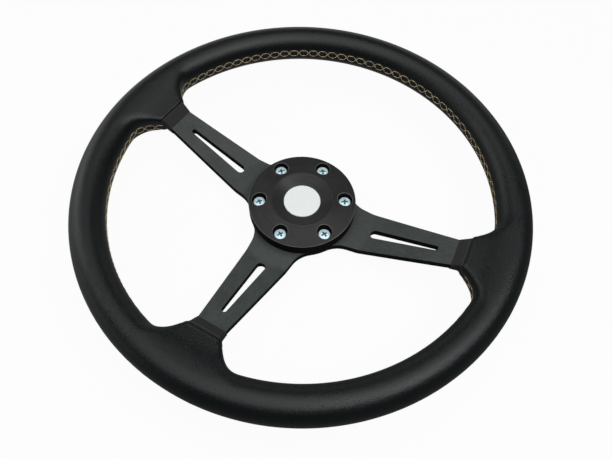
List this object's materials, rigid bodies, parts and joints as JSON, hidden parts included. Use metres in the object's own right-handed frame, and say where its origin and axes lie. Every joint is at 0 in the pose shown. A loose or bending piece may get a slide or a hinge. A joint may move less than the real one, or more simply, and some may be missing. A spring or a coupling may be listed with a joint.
{
  "type": "car steering wheel",
  "caption": "Dished three-spoke car steering wheel with a stitched leather rim, black slotted spokes, a screwed hub ring and a sprung horn button.",
  "frame": {"origin": "hub centre on the back face of the spoke plate, where it meets the steering boss", "axes": "+Z along the steering axis towards the driver, +Y towards the top of the wheel, one spoke along -Y"},
  "size_m": [0.36, 0.36, 0.0547],
  "materials": {
    "leather": "fine grain, satin",
    "thread": "waxed beige thread",
    "moulded_black": "matte",
    "black_anodised": "black anodised, brushed",
    "ring_black": "black anodised, turned",
    "zinc_steel": "zinc plated",
    "cap_pale": "satin",
    "brass": "plain",
    "steel": "plain"
  },
  "bodies": {
    "wheel": {"spoke_plate": "black_anodised", "rim_core": "steel", "core_rivets": "steel", "rim_padding": "moulded_black", "leather_cover": "leather", "seam_thread_top": "thread", "seam_thread_left": "thread", "seam_thread_right": "thread", "retaining_ring": "ring_black", "hub_screws": "zinc_steel", "horn_housing": "moulded_black", "horn_fixed_contact": "brass", "horn_live_terminal": "brass", "horn_ground_ring": "brass", "horn_spring": "steel", "horn_snap_ring": "steel"},
    "horn_button": {"horn_button_cap": "cap_pale", "horn_plunger": "moulded_black", "horn_moving_contact": "brass", "horn_contact_rivet": "brass"}
  },
  "joints": [
    {"name": "horn_press", "type": "slide", "parent": "wheel", "child": "horn_button", "axis": [0, 0, -1], "range_m": [0, 0.0015], "stiffness_N_per_m": 3000, "springref_m": -0.001, "deforming": ["horn_spring"]}
  ]
}
